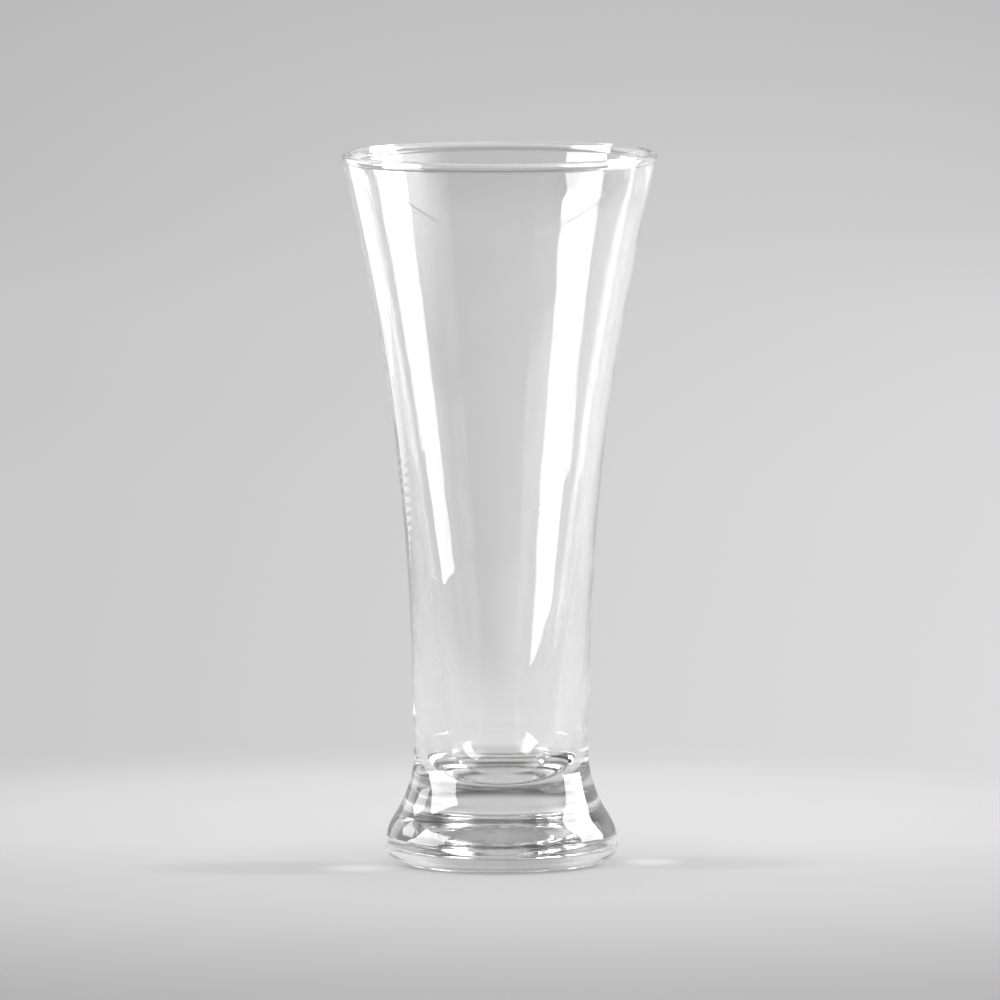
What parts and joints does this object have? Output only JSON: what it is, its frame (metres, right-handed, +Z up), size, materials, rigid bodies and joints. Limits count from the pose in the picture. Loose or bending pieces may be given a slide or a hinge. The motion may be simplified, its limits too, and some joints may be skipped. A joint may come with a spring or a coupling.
{
  "type": "pilsner glass",
  "caption": "Clear flared pilsner beer glass with a rounded lip, a heavy solid bottom and a short flared foot with a hollow underside.",
  "frame": {"origin": "on the glass's axis, in the plane of the bearing ring that it stands on", "axes": "+Z up along the axis, from the foot to the lip; +X and +Y are level and equivalent, because the glass is round"},
  "size_m": [0.0808, 0.0808, 0.183],
  "materials": {
    "clear_glass": "clear colourless soda-lime glass, fire-polished outside, faint pressing ripple inside"
  },
  "bodies": {
    "root": {"rim_bead": "clear_glass", "bowl_wall": "clear_glass", "bowl_floor": "clear_glass", "foot": "clear_glass"}
  },
  "joints": []
}
